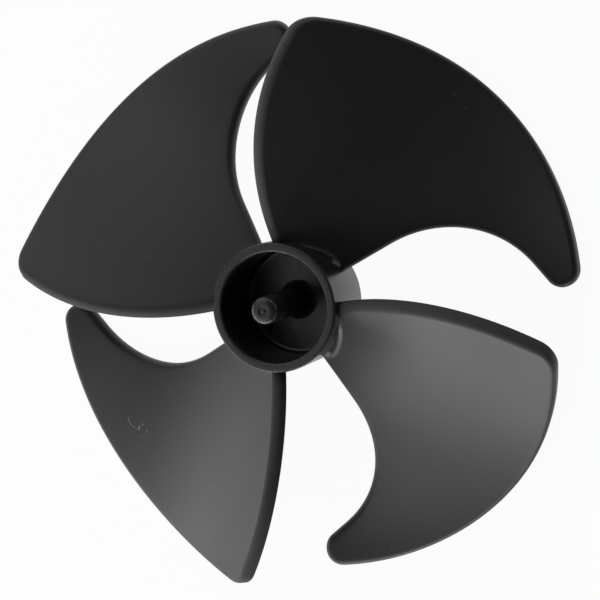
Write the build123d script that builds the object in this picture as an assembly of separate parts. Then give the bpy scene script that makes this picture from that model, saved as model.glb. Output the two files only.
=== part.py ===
from build123d import *
from build123d.topology import SkipClean
from math import cos, radians, sin
import os

# Evaporator fan blade: one moulding with swept, twisted and cambered blades round a hub cup.
# Millimetres. Z is the wheel's axis, and the origin is the middle of the hub's flat back face, at the mouth of the
# shaft bore. +Z points to the open end of the hub cup, past which the closed end of the shaft boss stands out.

# Wheel
blade_count = 4
tip_diameter = 108.0

# Hub cup: open at the top, closed by a floor at the back
hub_diameter = 24.45
hub_length = 15.7
hub_wall = 1.8
hub_floor = 1.7
rim_bevel = 0.3
hub_back_bevel = 0.5
cup_floor_bevel = 0.6

# Shaft boss in the middle of the cup, with the blind bore that is pressed on the motor's shaft
boss_diameter = 5.2
boss_stand_out = 5.1
boss_tip_bevel = 0.7
boss_foot_flare = 1.1
bore_diameter = 3.175
bore_depth = 14.0
bore_lead_in = 0.4

# Marks of the mould: the gate's vestige on the boss tip, and two ejector pins on the cup's floor
gate_dimple_diameter = 1.7
gate_dimple_depth = 0.3
gate_stub_diameter = 0.7
gate_stub_height = 0.25
ejector_mark_diameter = 2.2
ejector_mark_depth = 0.15
ejector_circle_diameter = 12.6
ejector_mark_angle = 81.0

# Blade outline, seen along the axis: angles are measured round the axis, from X, for the first blade
convex_root_angle = 93.9
convex_tip_angle = 85.0
convex_edge_radius = 57.7
concave_root_angle = 34.8
concave_bend_inset = 15.4
concave_bend_angle = 32.0
concave_bend_radius = 21.3
lobe_tip_angle = -1.9
lobe_radius = 3.4
corner_radius = 4.4

# Blade surface: the height and slopes of its back face where the blade's middle line leaves the axis, the length
# along that line in which the pitch would flatten out, and the radii of the camber across it and the droop along it
blade_middle_angle = 55.0
blade_height = 7.0
pitch_slope = 0.739
rake_slope = -0.056
pitch_run_out_length = 99.0
camber_radius = 67.6
droop_radius = 255.0

# Blade section
blade_thickness = 2.5
front_edge_bevel = 1.1
root_fillet = 0.8

# How close two points are to count as the same place
SAME_PLACE = 0.001

# Worked out from the sizes above
tip_radius = tip_diameter / 2
hub_radius = hub_diameter / 2
cup_radius = hub_radius - hub_wall
root_radius = hub_radius - hub_wall / 2
outline_start_radius = root_radius - blade_thickness
boss_radius = boss_diameter / 2
boss_top = hub_length + boss_stand_out
bore_radius = bore_diameter / 2


def polar(distance, angle):
    """A point of the plan at this distance from the axis and this angle from X."""
    return (distance * cos(radians(angle)), distance * sin(radians(angle)))


def distance_from_axis(point):
    return Vector(point.X, point.Y, 0).length


def corner_of(section, point):
    """The corner of a flat section that lies at this point."""
    return section.vertices().sort_by_distance(Vector(*point))[0]


def hub():
    """The hub cup, its boss, the bore and the gate's mark, turned from one half section (radius, height)."""
    gate_radius = gate_dimple_diameter / 2
    gate_floor = boss_top - gate_dimple_depth
    stub_radius = gate_stub_diameter / 2
    stub_top = gate_floor + gate_stub_height
    back_edge = (hub_radius, 0)
    rim_outside = (hub_radius, hub_length)
    rim_inside = (cup_radius, hub_length)
    cup_corner = (cup_radius, hub_floor)
    boss_foot = (boss_radius, hub_floor)
    boss_shoulder = (boss_radius, boss_top)
    section = make_face(
        Polyline(
            (bore_radius + bore_lead_in, 0),
            back_edge,
            rim_outside,
            rim_inside,
            cup_corner,
            boss_foot,
            boss_shoulder,
            (gate_radius, boss_top),
            (gate_radius, gate_floor),
            (stub_radius, gate_floor),
            (stub_radius, stub_top),
            (0, stub_top),
            (0, bore_depth),
            (bore_radius, bore_depth),
            (bore_radius, bore_lead_in),
            close=True,
        )
    )
    bevels = [
        (back_edge, hub_back_bevel),
        (rim_outside, rim_bevel),
        (rim_inside, rim_bevel),
        (cup_corner, cup_floor_bevel),
        (boss_foot, boss_foot_flare),
        (boss_shoulder, boss_tip_bevel),
    ]
    for corner, width in bevels:
        section = chamfer(corner_of(section, corner), width)
    turned = revolve(Plane.XZ * section, Axis.Z)
    for angle in (ejector_mark_angle, ejector_mark_angle + 180):
        x, y = polar(ejector_circle_diameter / 2, angle)
        pin = Cylinder(ejector_mark_diameter / 2, ejector_mark_depth * 2)
        turned -= Pos(x, y, hub_floor) * pin
    return turned


def blade_outline():
    """Plan outline of the first blade, from inside the hub wall out to the tip circle."""
    convex_root = polar(outline_start_radius, convex_root_angle)
    convex_tip = polar(tip_radius, convex_tip_angle)
    lobe_tip = polar(tip_radius, lobe_tip_angle)
    bend = polar(tip_radius - concave_bend_inset, concave_bend_angle)
    concave_root = polar(outline_start_radius, concave_root_angle)
    tip_middle = polar(tip_radius, (convex_tip_angle + lobe_tip_angle) / 2)
    edges = [
        RadiusArc(convex_root, convex_tip, convex_edge_radius),
        ThreePointArc(convex_tip, tip_middle, lobe_tip),
        Line(lobe_tip, bend),
        Line(bend, concave_root),
        Line(concave_root, convex_root),
    ]
    outline = make_face(edges)
    for corner, radius in [(convex_tip, corner_radius), (lobe_tip, lobe_radius), (bend, concave_bend_radius)]:
        outline = fillet(corner_of(outline, corner), radius)
    return outline


def blade_back_surface():
    """The surface of the blade's back face: a quadric, which a Bezier patch of degree two gives exactly.

    p runs out along the blade's middle line and q across it, towards the convex edge.
    """
    reach = tip_radius + blade_thickness
    p_pairs = ((0, 0), (0, reach), (reach, reach))
    q_pairs = ((-reach, -reach), (-reach, reach), (reach, reach))
    rows = []
    for p_low, p_high in p_pairs:
        row = []
        for q_low, q_high in q_pairs:
            p = (p_low + p_high) / 2
            q = (q_low + q_high) / 2
            height = blade_height + rake_slope * p + pitch_slope * q * (1 - p / pitch_run_out_length)
            height += q_low * q_high / (2 * camber_radius) - p_low * p_high / (2 * droop_radius)
            row.append(Vector(p, q, height))
        rows.append(row)
    return Rot(0, 0, blade_middle_angle) * Face.make_bezier_surface(rows)


def free_edges(face):
    """The edges of a blade face that run out from the hub, without the one at its root."""
    return [edge for edge in face.edges() if distance_from_axis(edge @ 0.5) > root_radius]


def front_face(sheet):
    """The upper of a blade's two broad faces."""
    return sheet.faces().sort_by(SortBy.AREA)[-2:].sort_by(Axis.Z)[-1]


def blade():
    """One blade: the outline cut from the surface, thickened to the front, with its front edges eased.

    The outline's arcs and lines stay separate edges, because the bevel follows them more truly.
    """
    cutter = extrude(blade_outline(), tip_diameter, both=True)
    with SkipClean():
        back_face = (blade_back_surface() & cutter).faces()[0]
    sheet = Solid.thicken(back_face, blade_thickness)
    sheet = sheet.chamfer(front_edge_bevel, None, free_edges(front_face(sheet)))
    return sheet - Cylinder(root_radius, tip_diameter)


def fan_blade():
    """The whole moulding: the blades spaced evenly round the hub, with fillets where their broad faces meet it."""
    wheel = hub()
    first_blade = blade()
    for turn in range(blade_count):
        wheel += Rot(0, 0, turn * 360 / blade_count) * first_blade
    root_edges = ShapeList()
    for edge in wheel.edges().filter_by(GeomType.BSPLINE):
        if all(abs(distance_from_axis(edge @ t) - hub_radius) < SAME_PLACE for t in (0, 0.5, 1)):
            root_edges.append(edge)
    broad_face_edges = root_edges.sort_by(SortBy.LENGTH)[-2 * blade_count:]
    return fillet(broad_face_edges, root_fillet)


os.makedirs("parts", exist_ok=True)
wheel = fan_blade()
wheel.label = "fan_blade"
export_step(wheel, "parts/fan_blade.step")
print("solids", len(wheel.solids()), "volume", round(wheel.volume), "valid", wheel.is_valid)
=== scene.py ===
"""Looks of the evaporator fan blade: one black plastic moulding, lying cup up on a pale floor.

The blade's plan is drawn here as a flat mesh. A node tree bends it to the blade's surface, repeats it
round the hub and joins both to one skin. Sizes are in millimetres and become metres where a mesh or a
node takes them.
"""
from cmath import phase, rect
from math import ceil, cos, pi, radians, sin, sqrt

import bmesh
import bpy
import numpy as np
from mathutils import Matrix, Vector
from mathutils.geometry import delaunay_2d_cdt


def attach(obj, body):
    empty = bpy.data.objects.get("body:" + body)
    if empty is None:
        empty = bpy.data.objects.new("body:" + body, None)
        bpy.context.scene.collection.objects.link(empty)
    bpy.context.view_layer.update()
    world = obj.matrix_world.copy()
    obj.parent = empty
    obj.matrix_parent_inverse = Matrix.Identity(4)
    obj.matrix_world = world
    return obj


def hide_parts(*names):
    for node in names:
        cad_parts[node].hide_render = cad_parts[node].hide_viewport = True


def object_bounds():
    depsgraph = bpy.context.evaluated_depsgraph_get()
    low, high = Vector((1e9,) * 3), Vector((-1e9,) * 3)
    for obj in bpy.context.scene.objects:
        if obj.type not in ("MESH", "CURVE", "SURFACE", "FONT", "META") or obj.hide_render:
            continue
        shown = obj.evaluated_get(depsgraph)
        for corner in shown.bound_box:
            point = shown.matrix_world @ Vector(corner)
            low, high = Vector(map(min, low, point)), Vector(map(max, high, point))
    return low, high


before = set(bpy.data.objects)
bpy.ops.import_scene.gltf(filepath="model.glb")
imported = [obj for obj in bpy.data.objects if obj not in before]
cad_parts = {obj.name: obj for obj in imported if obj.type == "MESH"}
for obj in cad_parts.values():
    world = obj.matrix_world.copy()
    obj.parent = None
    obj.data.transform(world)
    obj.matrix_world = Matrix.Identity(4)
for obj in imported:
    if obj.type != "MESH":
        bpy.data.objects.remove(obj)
cad_low, cad_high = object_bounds()

MM = 0.001

# Wheel
blade_count = 4
tip_radius = 54.0

# Hub cup, with the roundings of its edges
hub_radius = 12.225
hub_length = 15.7
hub_wall = 1.8
hub_floor = 1.7
rim_rounding = 0.4
hub_back_rounding = 0.5
cup_floor_rounding = 0.8

# Shaft boss
boss_radius = 2.6
boss_top = 20.8
boss_tip_rounding = 1.2
boss_foot_rounding = 1.4
bore_radius = 1.5875
bore_depth = 14.0
bore_lead_in = 0.4

# Marks of the mould
gate_dimple_radius = 0.85
gate_dimple_depth = 0.3
gate_stub_radius = 0.35
gate_stub_height = 0.25
gate_rounding = 0.08
ejector_mark_count = 2
ejector_mark_radius = 1.1
ejector_mark_depth = 0.15
ejector_circle_radius = 6.3
ejector_mark_angle = 81.0

# Blade outline in plan, by angle round the axis for the first blade
convex_root_angle = 93.9
convex_tip_angle = 85.0
convex_edge_radius = 57.7
concave_root_angle = 34.8
concave_bend_inset = 15.4
concave_bend_angle = 32.0
concave_bend_radius = 21.3
lobe_tip_angle = -1.9
lobe_radius = 3.4
corner_radius = 4.4

# Blade surface, along and across the blade's middle line
blade_middle_angle = 55.0
blade_height = 7.0
pitch_slope = 0.739
rake_slope = -0.056
pitch_run_out_length = 99.0
camber_radius = 67.6
droop_radius = 255.0

# Blade section: the front rounding changes to the tip circle's own over a short blend, and the root fillet
# fades out before it comes to the blade's edges
blade_thickness = 2.5
front_edge_rounding = 1.5
tip_edge_rounding = 1.1
tip_rounding_blend = 5.0
back_edge_rounding = 0.3
root_fillet = 1.2
fillet_fade = 3.2

# Plastic: sizes of its marks, and tones and roughnesses between nothing and one
flow_mark_size = 26.0
grain_size = 0.35
grain_depth = 0.006
plastic_dark = 0.014
plastic_light = 0.022
blue_cast = 1.03
specular_level = 0.35
roughness_low = 0.43
roughness_high = 0.49
grain_roughness = 0.03
# Painted sheen: a lighter grey on the convex edges' sideways walls, standing in for the light they reflect
painted_edge_sheen_tone = 0.045
edge_roughness = 0.45
edge_matte_and_sheen_reach = 1.2
hub_polish = 0.18
hub_grain_loss = 0.92
polish_fade = 1.2
dust_spacing = 3.4
dust_radius = 0.16
dust_strength = 0.35
mark_tone = 0.3
mark_roughness = 0.25

# The middle range in which smooth noise mostly lies
noise_low = 0.3
noise_high = 0.7

# Scuff on the front of one blade: an arc of scratch, and nicks where it ends
scratch_centre = (-36.2, -26.1, -0.9)
scratch_radius = 2.3
scratch_width = 0.26
scratch_strength = 0.45
scratch_middle_angle = 224.0
scratch_half_angle = 38.0
nicks_centre = (-35.1, -28.4, -0.6)
nicks_reach = 2.4
nick_spacing = 0.8
nick_radius = 0.26

# Studio, in metres and degrees, with brightnesses that count white as one
softbox_distance = 1.0
strip_elevation = 6.0
strip_height = 0.24
room_brightness = 0.07
floor_half_width = 3.0
floor_paint = 0.85
floor_glow_share = 0.95

# Camera: where it stands and which way it looks, its film and its lens
camera_place = (119.8, 43.52, 321.89)
camera_direction = (-0.34718, -0.12677, -0.92919)
camera_near_limit = 10.0
film_width = 36.0
lens_length = 107.1

# Fineness of the meshes
outline_spacing = 0.6
lattice_spacing = 1.3
root_row_spacing = 0.6
root_arc_points = 25
root_rows = 9
front_rounding_steps = 10
back_rounding_steps = 4
hub_segments = 192
hub_rounding_steps = 6
ejector_mark_segments = 48
sharp_edge_angle = radians(38)
solver_steps = 20

# How close two points are to count as one: at the hub's wall, in the hub's seam and in a triangulation
SAME_PLACE = 0.01
SAME_SEAM = 0.0001
SAME_CORNER = 0.000001

# The triangulation's setting that keeps the triangles inside the outline
INSIDE_OUTLINE = 1

# Worked out from the sizes above, with the roots' angles counted from the blade's middle line
cup_radius = hub_radius - hub_wall
root_radius = hub_radius - hub_wall / 2
outline_start_radius = root_radius - blade_thickness
concave_root_turn = radians(concave_root_angle - blade_middle_angle)
convex_root_turn = radians(convex_root_angle - blade_middle_angle)


# Plan geometry: a plan point is a complex number, and edges run with the plastic on their left
def polar(distance, angle):
    """A plan point, with the angle turned so that the blade's middle line is the real axis."""
    return rect(distance, radians(angle - blade_middle_angle))


def straight_edge(start, end):
    """A function that gives the nearest point of a straight edge and the direction into the plastic."""
    along = (end - start) / abs(end - start)

    def nearest(point):
        return start + along * ((point - start) / along).real, 1j * along

    return nearest


def round_edge(centre, radius):
    """The same for an edge that is part of a circle with the plastic inside it."""

    def nearest(point):
        outward = (point - centre) / abs(point - centre)
        return centre + radius * outward, -outward

    return nearest


def rounding(before, after, corner, radius):
    """Centre, start and end of the arc that rounds a corner; a negative radius rounds an inner corner."""
    centre = corner
    for _ in range(solver_steps):
        feet = [before(centre), after(centre)]
        directions = [[inward.real, inward.imag] for foot, inward in feet]
        missing = [radius - ((centre - foot) / inward).real for foot, inward in feet]
        centre += complex(*np.linalg.solve(directions, missing))
    return centre, before(centre)[0], after(centre)[0]


def line_points(start, end, spacing):
    """Evenly spaced points of a line, without its end, each with the direction of travel."""
    count = ceil(abs(end - start) / spacing)
    along = (end - start) / abs(end - start)
    return [(start + (end - start) * k / count, along) for k in range(count)]


def arc_steps(centre, start, end, count):
    """The same for an arc of less than half a turn, divided into a number of steps."""
    sweep = phase((end - centre) / (start - centre))
    turn = 1j if sweep > 0 else -1j
    points = []
    for k in range(count):
        spoke = (start - centre) * rect(1, sweep * k / count)
        points.append((centre + spoke, turn * spoke / abs(spoke)))
    return points


def arc_points(centre, start, end, spacing):
    """The same with the number of steps that the spacing asks for."""
    sweep = phase((end - centre) / (start - centre))
    return arc_steps(centre, start, end, ceil(abs(start - centre) * abs(sweep) / spacing))


def root_row_radii():
    """Distances from the axis of the root fillet's rows of points, close together at the hub wall."""
    angles = np.linspace(0, pi / 2, root_rows)
    return [root_radius] + [hub_radius + root_fillet * (1 - cos(a)) for a in angles]


def graded(points):
    """A run of points that leaves the hub, with its first stretch replaced by one point for each root row."""
    radii = root_row_radii()
    run = np.array([point for point, direction in points])
    ways = np.array([direction for point, direction in points])
    first_kept = int(np.argmax(np.abs(run) > radii[-1] + outline_spacing / 2))
    rows = [complex(np.interp(r, np.abs(run), run)) for r in radii]
    row_ways = [complex(np.interp(r, np.abs(run), ways)) for r in radii]
    return list(zip(rows, row_ways)) + points[first_kept:]


# Blade
def blade_outline():
    """The plan outline from the concave edge's root, round the lobe and the tip, to the convex edge's root.

    With it comes each point's share of the rougher edge with its painted sheen: the convex edge fully, its
    corner in passing, the others not.
    """
    concave_root = polar(outline_start_radius, concave_root_angle)
    bend = polar(tip_radius - concave_bend_inset, concave_bend_angle)
    lobe_tip = polar(tip_radius, lobe_tip_angle)
    convex_tip = polar(tip_radius, convex_tip_angle)
    convex_root = polar(outline_start_radius, convex_root_angle)
    half_chord = (convex_root - convex_tip) / 2
    chord_to_centre = sqrt(convex_edge_radius**2 - abs(half_chord) ** 2)
    convex_centre = convex_tip + half_chord + 1j * chord_to_centre * half_chord / abs(half_chord)

    inner_edge = straight_edge(concave_root, bend)
    outer_edge = straight_edge(bend, lobe_tip)
    tip_edge = round_edge(0, tip_radius)
    convex_edge = round_edge(convex_centre, convex_edge_radius)
    bend_arc = rounding(inner_edge, outer_edge, bend, -concave_bend_radius)
    lobe_arc = rounding(outer_edge, tip_edge, lobe_tip, lobe_radius)
    corner_arc = rounding(tip_edge, convex_edge, convex_tip, corner_radius)

    fine = outline_spacing / 2
    points = graded(line_points(concave_root, bend_arc[1], fine))
    points += arc_points(*bend_arc, outline_spacing)
    points += line_points(bend_arc[2], lobe_arc[1], outline_spacing)
    points += arc_points(*lobe_arc, fine)
    points += arc_points(0, lobe_arc[2], corner_arc[1], outline_spacing)
    corner = arc_points(*corner_arc, fine)
    from_root = arc_points(convex_centre, convex_root, corner_arc[2], fine)
    turned_round = [(point, -way) for point, way in from_root]
    convex = graded(turned_round)[::-1]
    edge_matte_and_sheen = [0] * len(points) + list(np.linspace(0, 1, len(corner))) + [1] * len(convex)
    return points + corner + convex, edge_matte_and_sheen


def eased(share):
    """A share from nothing to one, with a smooth start and a smooth end."""
    share = np.clip(share, 0, 1)
    return share * share * (3 - 2 * share)


def edge_profile(place):
    """The rounded edge at a place of the outline, in steps from back to front.

    A step is its inset, its rise and its share of the rougher edge and its painted sheen, a lighter grey that
    stands in for reflected light on what faces sideways. The front rounding is smaller along the tip circle
    than along the other edges.
    """
    inside = eased((tip_radius - abs(place)) / tip_rounding_blend)
    front_rounding = tip_edge_rounding + (front_edge_rounding - tip_edge_rounding) * inside
    back_turns = np.linspace(-pi / 2, 0, back_rounding_steps + 1)
    front_turns = np.linspace(0, pi / 2, front_rounding_steps + 1)
    steps = []
    for turns, radius, middle in (
        (back_turns, back_edge_rounding, back_edge_rounding),
        (front_turns, front_rounding, blade_thickness - front_rounding),
    ):
        for turn in turns:
            inset = radius * (1 - cos(turn))
            rise = middle + radius * sin(turn)
            steps.append((inset, rise, eased(edge_matte_and_sheen_reach * cos(turn))))
    return steps


def root_arc(radius, low, high, count):
    """Points on an arc round the axis, between two angles from the blade's middle line."""
    return [rect(radius, angle) for angle in np.linspace(low, high, count)]


def inner_points(points, insets):
    """Points inside the outline for a broad face: rows along the root, then an even lattice.

    Each row comes with the share of the root fillet at its points, which dies away towards the blade's edges.
    """
    outline = np.array([point for point, way in points])
    inward = np.array([1j * way for point, way in points])

    def room(candidates):
        """How far each candidate lies inside the edge of the broad face."""
        gaps = candidates[:, None] - outline[None, :]
        nearest = np.argmin(np.abs(gaps), axis=1)
        offset = gaps[np.arange(len(candidates)), nearest]
        return (offset / inward[nearest]).real - insets[nearest]

    radii = root_row_radii()
    rows = []
    for radius in radii[1:]:
        count = ceil(radius * (convex_root_turn - concave_root_turn) / root_row_spacing)
        arc = np.array(root_arc(radius, concave_root_turn, convex_root_turn, count))
        arc = arc[room(arc) > root_row_spacing / 2]
        rows.append((arc, eased(room(arc) / fillet_fade)))
    steps = int(tip_radius / lattice_spacing) + 1
    lattice = []
    for row in range(-steps * 2, steps * 2):
        shift = lattice_spacing / 2 * (row % 2)
        for column in range(steps + 1):
            lattice.append(complex(column * lattice_spacing + shift, row * lattice_spacing * sqrt(3) / 2))
    lattice = np.array(lattice)
    lattice = lattice[np.abs(lattice) > radii[-1] + lattice_spacing / 2]
    lattice = lattice[np.abs(lattice) < tip_radius]
    lattice = lattice[room(lattice) > lattice_spacing / 2]
    return rows, lattice


class PlanMesh:
    """One blade as a flat mesh whose points carry what the node tree needs to bend and thicken it."""

    def __init__(self):
        self.places = []
        self.ways = []
        self.section = []
        self.faces = []

    def add_point(self, place, way=1, inset=0, rise=0, fillet_share=0, matte_edge=0):
        """Adds a point, with the direction of travel where it is on an edge, and gives back its number."""
        self.places.append(place)
        self.ways.append(way)
        self.section.append((inset, rise, fillet_share, matte_edge))
        return len(self.places) - 1

    def finished(self):
        """The mesh, with one attribute for each value that its points carry."""
        mesh = bpy.data.meshes.new("blade_plan")
        mesh.from_pydata([(place.real * MM, place.imag * MM, 0) for place in self.places], [], self.faces)
        inset, rise, fillet_share, matte_edge = np.array(self.section, np.float32).T
        for name, values in (
            ("inset", inset * MM),
            ("rise", rise * MM),
            ("fillet_share", fillet_share),
            ("matte_edge", matte_edge),
            ("way_along", np.real(self.ways)),
            ("way_across", np.imag(self.ways)),
        ):
            mesh.attributes.new(name, "FLOAT", "POINT").data.foreach_set("value", np.float32(values))
        return mesh


def add_edge_rings(plan, points, edge_matte_and_sheen, profiles):
    """Rings of points along the outline, one for each step of its rounded edge, with faces between them."""
    rings = []
    for steps in zip(*profiles):
        ring = []
        for (place, way), share, (inset, rise, matte_and_sheen_share) in zip(points, edge_matte_and_sheen, steps):
            ring.append(plan.add_point(place, way, inset, rise, matte_edge=matte_and_sheen_share * share))
        rings.append(ring)
    for lower, upper in zip(rings, rings[1:]):
        for k in range(len(points) - 1):
            plan.faces.append((lower[k], lower[k + 1], upper[k + 1], upper[k]))
    return rings


def add_broad_face(plan, points, ring, insets, rise, side):
    """A broad face, between a ring and a line in the hub's wall, whose points it gives back.

    The side is 1 for the front face and -1 for the back face.
    """
    clear_of_edge = 2 * front_edge_rounding / root_radius
    low = concave_root_turn + clear_of_edge
    high = convex_root_turn - clear_of_edge
    wall_places = root_arc(root_radius, low, high, root_arc_points)
    wall_line = [plan.add_point(place, rise=rise, fillet_share=side) for place in wall_places]
    rows, lattice = inner_points(points, insets)

    numbers = ring + wall_line[::-1]
    flat = [place + 1j * way * inset for (place, way), inset in zip(points, insets)]
    flat += wall_places[::-1]
    edges = [(k, (k + 1) % len(flat)) for k in range(len(flat))]
    for row, shares in rows:
        edges += [(k, k + 1) for k in range(len(flat), len(flat) + len(row) - 1)]
        flat += list(row)
        for place, share in zip(row, shares):
            numbers.append(plan.add_point(place, rise=rise, fillet_share=side * share))
    flat += list(lattice)
    numbers += [plan.add_point(place, rise=rise) for place in lattice]

    coordinates = [Vector((place.real, place.imag)) for place in flat]
    _, _, triangles, sources, _, _ = delaunay_2d_cdt(coordinates, edges, [], INSIDE_OUTLINE, SAME_CORNER)
    for triangle in triangles:
        corners = tuple(numbers[sources[k][0]] for k in triangle)
        plan.faces.append(corners[::side])
    return wall_line


def blade_plan():
    """The first blade: its rounded edge, its two broad faces, and the end that lies in the hub's wall."""
    plan = PlanMesh()
    points, edge_matte_and_sheen = blade_outline()
    profiles = [edge_profile(place) for place, way in points]
    rings = add_edge_rings(plan, points, edge_matte_and_sheen, profiles)
    back_insets = np.array([profile[0][0] for profile in profiles])
    front_insets = np.array([profile[-1][0] for profile in profiles])
    back_line = add_broad_face(plan, points, rings[0], back_insets, 0, -1)
    front_line = add_broad_face(plan, points, rings[-1], front_insets, blade_thickness, 1)
    for k in range(root_arc_points - 1):
        plan.faces.append((back_line[k + 1], back_line[k], front_line[k], front_line[k + 1]))
    concave_end = [ring[0] for ring in rings]
    convex_end = [ring[-1] for ring in rings]
    plan.faces.append(tuple(concave_end + [front_line[0], back_line[0]]))
    plan.faces.append(tuple(convex_end[::-1] + [back_line[-1], front_line[-1]]))
    return plan.finished()


# Hub
def rounded_section(corners):
    """Points of an open line through corners, each given with the radius that rounds it."""
    points = [corners[0][0]]
    for (before, _), (corner, radius), (after, _) in zip(corners, corners[1:], corners[2:]):
        if radius == 0:
            points.append(corner)
            continue
        turn = phase((after - corner) / (corner - before))
        signed = radius if turn > 0 else -radius
        arc = rounding(straight_edge(before, corner), straight_edge(corner, after), corner, signed)
        points += [point for point, way in arc_steps(*arc, hub_rounding_steps)]
        points.append(arc[2])
    points.append(corners[-1][0])
    return points


def hub_mesh():
    """The hub cup and its boss, turned from a half section whose real part is the distance from the axis."""
    gate_floor = boss_top - gate_dimple_depth
    stub_top = gate_floor + gate_stub_height
    section = rounded_section(
        [
            (complex(0, bore_depth), 0),
            (complex(bore_radius, bore_depth), 0),
            (complex(bore_radius, bore_lead_in), 0),
            (complex(bore_radius + bore_lead_in, 0), 0),
            (complex(hub_radius, 0), hub_back_rounding),
            (complex(hub_radius, hub_length), rim_rounding),
            (complex(cup_radius, hub_length), rim_rounding),
            (complex(cup_radius, hub_floor), cup_floor_rounding),
            (complex(boss_radius, hub_floor), boss_foot_rounding),
            (complex(boss_radius, boss_top), boss_tip_rounding),
            (complex(gate_dimple_radius, boss_top), gate_rounding),
            (complex(gate_dimple_radius, gate_floor), gate_rounding),
            (complex(gate_stub_radius, gate_floor), gate_rounding),
            (complex(gate_stub_radius, stub_top), gate_rounding),
            (complex(0, stub_top), 0),
        ]
    )
    places = []
    for k in range(hub_segments):
        turn = 2 * pi * k / hub_segments
        for point in section:
            places.append((point.real * cos(turn) * MM, point.real * sin(turn) * MM, point.imag * MM))
    size = len(section)
    faces = []
    for k in range(hub_segments):
        this = k * size
        other = (k + 1) % hub_segments * size
        for j in range(size - 1):
            faces.append((this + j, other + j, other + j + 1, this + j + 1))
    mesh = bpy.data.meshes.new("hub")
    mesh.from_pydata(places, [], faces)
    shape = bmesh.new()
    shape.from_mesh(mesh)
    bmesh.ops.remove_doubles(shape, verts=shape.verts, dist=SAME_SEAM * MM)
    bmesh.ops.recalc_face_normals(shape, faces=shape.faces)
    shape.to_mesh(mesh)
    shape.free()
    return mesh


# Node trees
def feed(tree, socket, value):
    """Links a socket to another one, or sets it to a plain value."""
    if isinstance(value, bpy.types.NodeSocket):
        tree.links.new(value, socket)
    else:
        socket.default_value = value


def add_node(tree, kind, inputs=None, **settings):
    """A new node with its settings made and its inputs, named or numbered, fed."""
    node = tree.nodes.new(kind)
    for name, value in settings.items():
        setattr(node, name, value)
    for name, value in (inputs or {}).items():
        feed(tree, node.inputs[name], value)
    return node


def calculate(tree, operation, *values):
    node = add_node(tree, "ShaderNodeMath", dict(enumerate(values)), operation=operation)
    return node.outputs[0]


def calculate_vector(tree, operation, *values):
    node = add_node(tree, "ShaderNodeVectorMath", dict(enumerate(values)), operation=operation)
    return node.outputs["Value" if operation in ("LENGTH", "DISTANCE", "DOT_PRODUCT") else "Vector"]


def scaled(tree, vector, factor):
    inputs = {"Vector": vector, "Scale": factor}
    return add_node(tree, "ShaderNodeVectorMath", inputs, operation="SCALE").outputs["Vector"]


def combine(tree, x, y, z):
    return add_node(tree, "ShaderNodeCombineXYZ", {0: x, 1: y, 2: z}).outputs[0]


def distance_from_axis(tree, place):
    return calculate_vector(tree, "LENGTH", calculate_vector(tree, "MULTIPLY", place, (1, 1, 0)))


# Node tree of the wheel
def position(tree):
    return add_node(tree, "GeometryNodeInputPosition").outputs[0]


def attribute(tree, name):
    return add_node(tree, "GeometryNodeInputNamedAttribute", {"Name": name}, data_type="FLOAT").outputs[0]


def exceeds(tree, value, limit):
    return add_node(tree, "FunctionNodeCompare", {0: value, 1: limit}, operation="GREATER_THAN").outputs[0]


def cut_from(tree, mesh, cutter):
    """A mesh with another one cut out of it."""
    node = add_node(tree, "GeometryNodeMeshBoolean", operation="DIFFERENCE", solver="EXACT")
    tree.links.new(mesh, node.inputs["Mesh 1"])
    tree.links.new(cutter, node.inputs["Mesh 2"])
    return node.outputs[0]


def joined(tree, *meshes):
    """Closed meshes joined to one skin."""
    node = add_node(tree, "GeometryNodeMeshBoolean", operation="UNION", solver="EXACT")
    for mesh in meshes:
        tree.links.new(mesh, node.inputs["Mesh 2"])
    return node.outputs[0]


def surface_at(tree, place, given):
    """The blade's back surface over a plan place: its point, its slopes along and across, and its normal."""
    along, across, _ = add_node(tree, "ShaderNodeSeparateXYZ", {0: place}).outputs
    run_out = calculate(tree, "DIVIDE", along, given["Pitch run-out length"])
    pitch = calculate(tree, "MULTIPLY", given["Pitch slope"], calculate(tree, "SUBTRACT", 1, run_out))
    camber = calculate(tree, "DIVIDE", across, given["Camber radius"])
    droop = calculate(tree, "DIVIDE", along, given["Droop radius"])
    height = calculate(tree, "MULTIPLY_ADD", given["Rake slope"], along, given["Blade height"])
    height = calculate(tree, "MULTIPLY_ADD", pitch, across, height)
    height = calculate(tree, "MULTIPLY_ADD", calculate(tree, "MULTIPLY", camber, 0.5), across, height)
    height = calculate(tree, "MULTIPLY_ADD", calculate(tree, "MULTIPLY", droop, -0.5), along, height)
    twist = calculate(tree, "MULTIPLY", given["Pitch slope"], across)
    twist = calculate(tree, "DIVIDE", twist, given["Pitch run-out length"])
    slope_along = calculate(tree, "SUBTRACT", given["Rake slope"], twist)
    slope_along = calculate(tree, "SUBTRACT", slope_along, droop)
    slope_across = calculate(tree, "ADD", pitch, camber)
    fall_along = calculate(tree, "MULTIPLY", slope_along, -1)
    fall_across = calculate(tree, "MULTIPLY", slope_across, -1)
    normal = calculate_vector(tree, "NORMALIZE", combine(tree, fall_along, fall_across, 1))
    return combine(tree, along, across, height), slope_along, slope_across, normal


def root_flare(tree, place, given):
    """How much the root fillet adds to the blade on one side, at a plan place."""
    fillet = given["Root fillet"]
    wall_gap = calculate(tree, "SUBTRACT", distance_from_axis(tree, place), given["Hub radius"])
    to_end = calculate(tree, "MAXIMUM", calculate(tree, "SUBTRACT", fillet, wall_gap), 0)
    to_end = calculate(tree, "MINIMUM", to_end, fillet)
    fillet_squared = calculate(tree, "MULTIPLY", fillet, fillet)
    to_end_squared = calculate(tree, "MULTIPLY", to_end, to_end)
    left_open = calculate(tree, "SQRT", calculate(tree, "SUBTRACT", fillet_squared, to_end_squared))
    return calculate(tree, "SUBTRACT", fillet, left_open)


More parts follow.
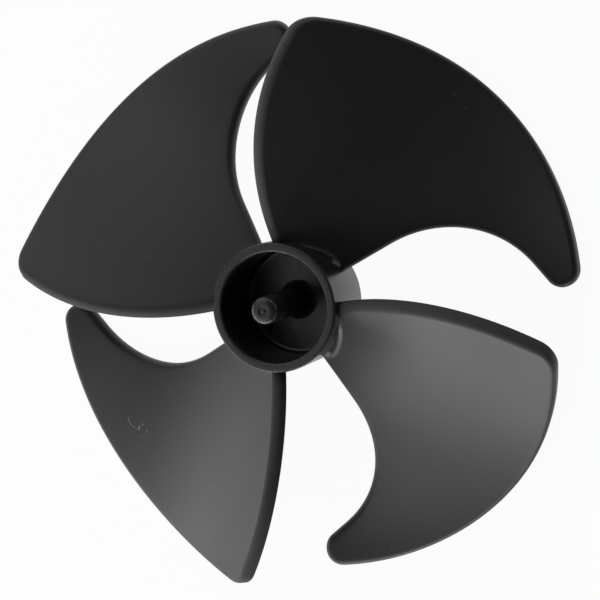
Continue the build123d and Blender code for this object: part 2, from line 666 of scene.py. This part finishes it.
def bent_blade(tree, given):
    """The plan bent: each point moves in over the surface by its inset, then out of it by its rise."""
    place = position(tree)
    _, slope_along, slope_across, normal = surface_at(tree, place, given)
    way_along = attribute(tree, "way_along")
    way_across = attribute(tree, "way_across")
    climb = calculate(tree, "MULTIPLY", slope_along, way_along)
    climb = calculate(tree, "MULTIPLY_ADD", slope_across, way_across, climb)
    way = calculate_vector(tree, "NORMALIZE", combine(tree, way_along, way_across, climb))
    inward = calculate_vector(tree, "CROSS_PRODUCT", normal, way)
    moved = calculate_vector(tree, "ADD", place, scaled(tree, inward, attribute(tree, "inset")))
    foot, _, _, normal = surface_at(tree, moved, given)
    flare = root_flare(tree, place, given)
    rise = calculate(tree, "MULTIPLY_ADD", flare, attribute(tree, "fillet_share"), attribute(tree, "rise"))
    bent_place = calculate_vector(tree, "ADD", foot, scaled(tree, normal, rise))
    bent = {"Geometry": given["Blade plan"], "Position": bent_place}
    return add_node(tree, "GeometryNodeSetPosition", bent).outputs[0]


def round_the_axis(tree, shape, count, first_angle):
    """Copies of a shape, evenly spaced round the axis."""
    spots = add_node(tree, "GeometryNodePoints", {"Count": count}).outputs[0]
    index = add_node(tree, "GeometryNodeInputIndex").outputs[0]
    turn = calculate(tree, "DIVIDE", calculate(tree, "MULTIPLY", index, 2 * pi), count)
    turn = calculate(tree, "ADD", turn, first_angle)
    copies = {"Points": spots, "Instance": shape, "Rotation": combine(tree, 0, 0, turn)}
    copies = add_node(tree, "GeometryNodeInstanceOnPoints", copies).outputs[0]
    return add_node(tree, "GeometryNodeRealizeInstances", {0: copies}).outputs[0]


def marked_hub(tree, given):
    """The hub with the ejector marks sunk in the cup's floor."""
    hub = add_node(tree, "GeometryNodeObjectInfo", {"Object": given["Hub"]}).outputs["Geometry"]
    pin_size = {
        "Vertices": ejector_mark_segments,
        "Radius": given["Ejector mark radius"],
        "Depth": calculate(tree, "MULTIPLY", given["Ejector mark depth"], 2),
    }
    pin = add_node(tree, "GeometryNodeMeshCylinder", pin_size).outputs[0]
    pin_place = combine(tree, given["Ejector circle radius"], 0, given["Cup floor"])
    pin = add_node(tree, "GeometryNodeTransform", {"Geometry": pin, "Translation": pin_place}).outputs[0]
    pins = round_the_axis(tree, pin, given["Ejector mark count"], given["Ejector mark angle"])
    return cut_from(tree, hub, pins)


def with_matte_and_sheen_edges(tree, wheel, blades, given):
    """The joined wheel with the nearest blade place's share of rougher edge and painted sheen, and none on
    the hub.
    """
    place = position(tree)
    source = {"Mesh": blades, "Value": attribute(tree, "matte_edge"), "Sample Position": place}
    nearest = add_node(tree, "GeometryNodeSampleNearestSurface", source, data_type="FLOAT").outputs[0]
    wall = calculate(tree, "ADD", given["Hub radius"], SAME_PLACE * MM)
    past_hub = exceeds(tree, distance_from_axis(tree, place), wall)
    choice = {"Switch": past_hub, "False": 0.0, "True": nearest}
    matte_and_sheen_share = add_node(tree, "GeometryNodeSwitch", choice, input_type="FLOAT").outputs[0]
    stored = {"Geometry": wheel, "Name": "matte_edge", "Value": matte_and_sheen_share}
    node = add_node(tree, "GeometryNodeStoreNamedAttribute", stored, data_type="FLOAT", domain="POINT")
    return node.outputs[0]


def shaded(tree, wheel, given):
    """The wheel shaded smooth, but for its sharp edges."""
    wheel = add_node(tree, "GeometryNodeSetShadeSmooth", {"Geometry": wheel, "Shade Smooth": True}).outputs[0]
    angle = add_node(tree, "GeometryNodeInputMeshEdgeAngle").outputs[0]
    sharp = exceeds(tree, angle, given["Sharp edge angle"])
    creases = {"Geometry": wheel, "Selection": sharp, "Shade Smooth": False}
    return add_node(tree, "GeometryNodeSetShadeSmooth", creases, domain="EDGE").outputs[0]


def fan_tree(sizes):
    """The node tree that bends the flat blade, repeats it round the axis and joins it to the hub.

    With it come the identifiers of its inputs by their names.
    """
    tree = bpy.data.node_groups.new("fan_wheel", "GeometryNodeTree")
    tree.interface.new_socket("Geometry", in_out="OUTPUT", socket_type="NodeSocketGeometry")
    tree.interface.new_socket("Blade plan", in_out="INPUT", socket_type="NodeSocketGeometry")
    kinds = {
        float: "NodeSocketFloat",
        int: "NodeSocketInt",
        bpy.types.Object: "NodeSocketObject",
        bpy.types.Material: "NodeSocketMaterial",
    }
    identifiers = {}
    for name, value in sizes.items():
        socket = tree.interface.new_socket(name, in_out="INPUT", socket_type=kinds[type(value)])
        identifiers[name] = socket.identifier
    given = add_node(tree, "NodeGroupInput").outputs

    blades = round_the_axis(tree, bent_blade(tree, given), given["Blade count"], given["First blade angle"])
    wheel = joined(tree, marked_hub(tree, given), blades)
    wheel = shaded(tree, with_matte_and_sheen_edges(tree, wheel, blades, given), given)
    wheel = add_node(tree, "GeometryNodeRealizeInstances", {0: wheel}).outputs[0]
    dressed = add_node(tree, "GeometryNodeSetMaterial", {"Geometry": wheel, "Material": given["Plastic"]})
    result = add_node(tree, "NodeGroupOutput")
    tree.links.new(dressed.outputs[0], result.inputs[0])
    return tree, identifiers


def fan_wheel(material):
    """The whole moulding as one plain mesh at the origin."""
    hub = bpy.data.objects.new("hub_form", hub_mesh())
    former = bpy.data.objects.new("blade_form", blade_plan())
    for form in (hub, former):
        bpy.context.scene.collection.objects.link(form)
    sizes = {
        "Blade count": blade_count,
        "First blade angle": radians(blade_middle_angle),
        "Blade height": blade_height * MM,
        "Pitch slope": pitch_slope,
        "Rake slope": rake_slope,
        "Pitch run-out length": pitch_run_out_length * MM,
        "Camber radius": camber_radius * MM,
        "Droop radius": droop_radius * MM,
        "Hub radius": hub_radius * MM,
        "Root fillet": root_fillet * MM,
        "Cup floor": hub_floor * MM,
        "Ejector mark count": ejector_mark_count,
        "Ejector mark radius": ejector_mark_radius * MM,
        "Ejector mark depth": ejector_mark_depth * MM,
        "Ejector circle radius": ejector_circle_radius * MM,
        "Ejector mark angle": radians(ejector_mark_angle),
        "Sharp edge angle": sharp_edge_angle,
        "Hub": hub,
        "Plastic": material,
    }
    tree, identifiers = fan_tree(sizes)
    modifier = former.modifiers.new("fan_wheel", "NODES")
    modifier.node_group = tree
    for name, value in sizes.items():
        modifier[identifiers[name]] = value
    shaped = former.evaluated_get(bpy.context.evaluated_depsgraph_get())
    mesh = bpy.data.meshes.new_from_object(shaped)
    former.modifiers.remove(modifier)
    for form in (former, hub):
        bpy.data.objects.remove(form)
    mesh.name = "fan_wheel"
    wheel = bpy.data.objects.new("fan_wheel", mesh)
    bpy.context.scene.collection.objects.link(wheel)
    return wheel


# Materials
def noise(tree, place, size, detail):
    """Smooth noise whose patches are about this size in millimetres."""
    pattern = {"Vector": place, "Scale": 1 / (size * MM), "Detail": detail}
    return add_node(tree, "ShaderNodeTexNoise", pattern).outputs[0]


def fade(tree, value, full, none):
    """One where the value is at full, falling smoothly to nothing where it is at none."""
    ends = {"Value": value, "From Min": full, "From Max": none, "To Min": 1.0, "To Max": 0.0}
    return add_node(tree, "ShaderNodeMapRange", ends, interpolation_type="SMOOTHSTEP").outputs[0]


def spread(tree, value, low, high):
    """Noise with its middle range stretched to run from low to high."""
    ends = {"Value": value, "From Min": noise_low, "From Max": noise_high, "To Min": low, "To Max": high}
    return add_node(tree, "ShaderNodeMapRange", ends).outputs[0]


def grey(value):
    """A grey with the faint blue cast of carbon black."""
    return (value, value, value * blue_cast, 1)


def mix_colour(tree, share, first, second):
    """A mix of two colours, which are the mix node's sockets 6 and 7, with the result in its output 2."""
    node = add_node(tree, "ShaderNodeMix", {0: share, 6: first, 7: second}, data_type="RGBA")
    return node.outputs[2]


def specks(tree, place, spacing, radius):
    """Small round spots of about this radius, scattered one to a cell of this spacing."""
    cells = add_node(tree, "ShaderNodeTexVoronoi", {"Vector": place, "Scale": 1 / (spacing * MM)})
    return fade(tree, cells.outputs["Distance"], radius / spacing / 2, radius / spacing)


def scuff(tree, place):
    """A short hooked scratch with a few nicks beside it, on the front of one blade."""
    away = calculate_vector(tree, "SUBTRACT", place, [v * MM for v in scratch_centre])
    from_line = calculate(tree, "SUBTRACT", calculate_vector(tree, "LENGTH", away), scratch_radius * MM)
    line = fade(tree, calculate(tree, "ABSOLUTE", from_line), scratch_width * MM / 4, scratch_width * MM / 2)
    middle = rect(1, radians(scratch_middle_angle))
    towards = calculate_vector(tree, "DOT_PRODUCT", away, (middle.real, middle.imag, 0))
    edge = scratch_radius * cos(radians(scratch_half_angle)) * MM
    line = calculate(tree, "MULTIPLY", line, fade(tree, towards, edge, edge - scratch_width * MM))
    skips = spread(tree, noise(tree, place, nick_spacing, detail=2), 0, scratch_strength)
    line = calculate(tree, "MULTIPLY", line, skips)
    from_nicks = calculate_vector(tree, "DISTANCE", place, [v * MM for v in nicks_centre])
    nicks = specks(tree, place, nick_spacing, nick_radius)
    nicks = calculate(tree, "MULTIPLY", nicks, fade(tree, from_nicks, 0, nicks_reach * MM))
    return calculate(tree, "MAXIMUM", line, nicks)


def black_plastic():
    """Satin black plastic: grain, faint flow marks, a smoother hub, and rougher convex edges with a painted
    sheen.

    A little dust and one scuff lie over it as pale marks.
    """
    material = bpy.data.materials.new("satin_black_plastic")
    material.use_nodes = True
    tree = material.node_tree
    shader = tree.nodes["Principled BSDF"]
    place = add_node(tree, "ShaderNodeTexCoord").outputs["Object"]
    flow = noise(tree, place, flow_mark_size, detail=4)
    grain = noise(tree, place, grain_size, detail=2)
    dust = calculate(tree, "MULTIPLY", specks(tree, place, dust_spacing, dust_radius), dust_strength)
    marks = calculate(tree, "MAXIMUM", dust, scuff(tree, place))
    edge_matte_and_sheen = add_node(tree, "ShaderNodeAttribute", attribute_name="matte_edge").outputs["Fac"]
    polished = fade(tree, distance_from_axis(tree, place), hub_radius * MM, (hub_radius + polish_fade) * MM)

    body = mix_colour(tree, flow, grey(plastic_dark), grey(plastic_light))
    # Painted sheen: the convex edges' sideways walls turn a lighter grey that stands in for the light they
    # reflect
    body = mix_colour(tree, edge_matte_and_sheen, body, grey(painted_edge_sheen_tone))
    feed(tree, shader.inputs["Base Color"], mix_colour(tree, marks, body, grey(mark_tone)))
    satin = spread(tree, flow, roughness_low, roughness_high)
    satin = calculate(tree, "ADD", satin, spread(tree, grain, -grain_roughness, grain_roughness))
    satin = calculate(tree, "MULTIPLY_ADD", polished, -hub_polish, satin)
    satin = calculate(tree, "MULTIPLY_ADD", edge_matte_and_sheen, edge_roughness, satin)
    satin = calculate(tree, "MULTIPLY_ADD", marks, mark_roughness, satin)
    feed(tree, shader.inputs["Roughness"], satin)
    shader.inputs["Specular IOR Level"].default_value = specular_level
    strength = calculate(tree, "MULTIPLY_ADD", polished, -hub_grain_loss, 1)
    bump = {"Height": grain, "Distance": grain_depth * MM, "Strength": strength}
    feed(tree, shader.inputs["Normal"], add_node(tree, "ShaderNodeBump", bump).outputs[0])
    return material


def pale_floor():
    """A pale floor that shows white to the camera and in reflections, and still takes the wheel's shadow."""
    material = bpy.data.materials.new("pale_floor")
    material.use_nodes = True
    tree = material.node_tree
    tree.nodes.clear()
    paths = add_node(tree, "ShaderNodeLightPath").outputs
    seen = calculate(tree, "MAXIMUM", paths["Is Camera Ray"], paths["Is Glossy Ray"])
    seen = calculate(tree, "MAXIMUM", seen, paths["Is Transmission Ray"])
    share = calculate(tree, "MULTIPLY", seen, floor_glow_share)
    paint = add_node(tree, "ShaderNodeBsdfDiffuse", {"Color": (floor_paint, floor_paint, floor_paint, 1)})
    glow = add_node(tree, "ShaderNodeEmission", {"Color": (1, 1, 1, 1), "Strength": 1.0})
    mixed = add_node(tree, "ShaderNodeMixShader", {0: share, 1: paint.outputs[0], 2: glow.outputs[0]})
    result = add_node(tree, "ShaderNodeOutputMaterial")
    tree.links.new(mixed.outputs[0], result.inputs[0])
    return material


# Studio
def add_floor():
    mesh = bpy.data.meshes.new("floor")
    half = floor_half_width
    corners = [(x, y, cad_low.z) for x, y in ((-half, -half), (half, -half), (half, half), (-half, half))]
    mesh.from_pydata(corners, [], [(0, 1, 2, 3)])
    mesh.materials.append(pale_floor())
    floor = bpy.data.objects.new("floor", mesh)
    bpy.context.scene.collection.objects.link(floor)


def add_softbox(name, azimuth, elevation, width, height, brightness):
    """A rectangular lamp that faces the wheel from this direction, as bright as a white of this strength."""
    lamp = bpy.data.lights.new(name, "AREA")
    lamp.shape = "RECTANGLE"
    lamp.size = width
    lamp.size_y = height
    lamp.energy = brightness * width * height * pi
    holder = bpy.data.objects.new(name, lamp)
    level = rect(cos(radians(elevation)), radians(azimuth))
    direction = Vector((level.real, level.imag, sin(radians(elevation))))
    holder.location = direction * softbox_distance
    holder.rotation_euler = direction.to_track_quat("Z", "Y").to_euler()
    holder.visible_camera = False
    bpy.context.scene.collection.objects.link(holder)


def add_strip(name, azimuth, width, brightness):
    """A long softbox that stands low over the floor."""
    add_softbox(name, azimuth, strip_elevation, width, strip_height, brightness)


def add_lamps():
    add_strip("front_strip", azimuth=262, width=0.95, brightness=10.5)
    add_strip("left_strip", azimuth=205, width=1.5, brightness=6.4)
    add_strip("back_strip", azimuth=101, width=1.7, brightness=2.6)
    add_softbox("front_softbox", azimuth=234, elevation=44, width=0.9, height=0.5, brightness=2.4)
    add_softbox("back_softbox", azimuth=126, elevation=44, width=0.9, height=0.5, brightness=1.9)
    add_softbox("overhead_softbox", azimuth=203, elevation=65, width=0.8, height=0.45, brightness=0.8)


def add_world():
    """A dim room round the softboxes."""
    world = bpy.data.worlds.new("studio")
    bpy.context.scene.world = world
    world.use_nodes = True
    room = world.node_tree.nodes["Background"]
    room.inputs["Color"].default_value = (1, 1, 1, 1)
    room.inputs["Strength"].default_value = room_brightness


def add_camera():
    """The camera stands above the cup, off to the right, and is rolled so that Y is up in the picture."""
    data = bpy.data.cameras.new("camera")
    data.sensor_width = film_width
    data.lens = lens_length
    data.clip_start = camera_near_limit * MM
    camera = bpy.data.objects.new("camera", data)
    forward = Vector(camera_direction).normalized()
    right = forward.cross(Vector((0, 1, 0))).normalized()
    up = right.cross(forward)
    turned = Matrix((right, up, -forward)).transposed().to_4x4()
    camera.matrix_world = Matrix.Translation(Vector(camera_place) * MM) @ turned
    bpy.context.scene.collection.objects.link(camera)
    bpy.context.scene.camera = camera


plastic = black_plastic()
wheel = fan_wheel(plastic)
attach(wheel, "root")
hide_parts("fan_blade")

add_floor()
add_world()
add_lamps()
add_camera()
bpy.context.scene.view_settings.view_transform = "Standard"

bpy.context.view_layer.update()
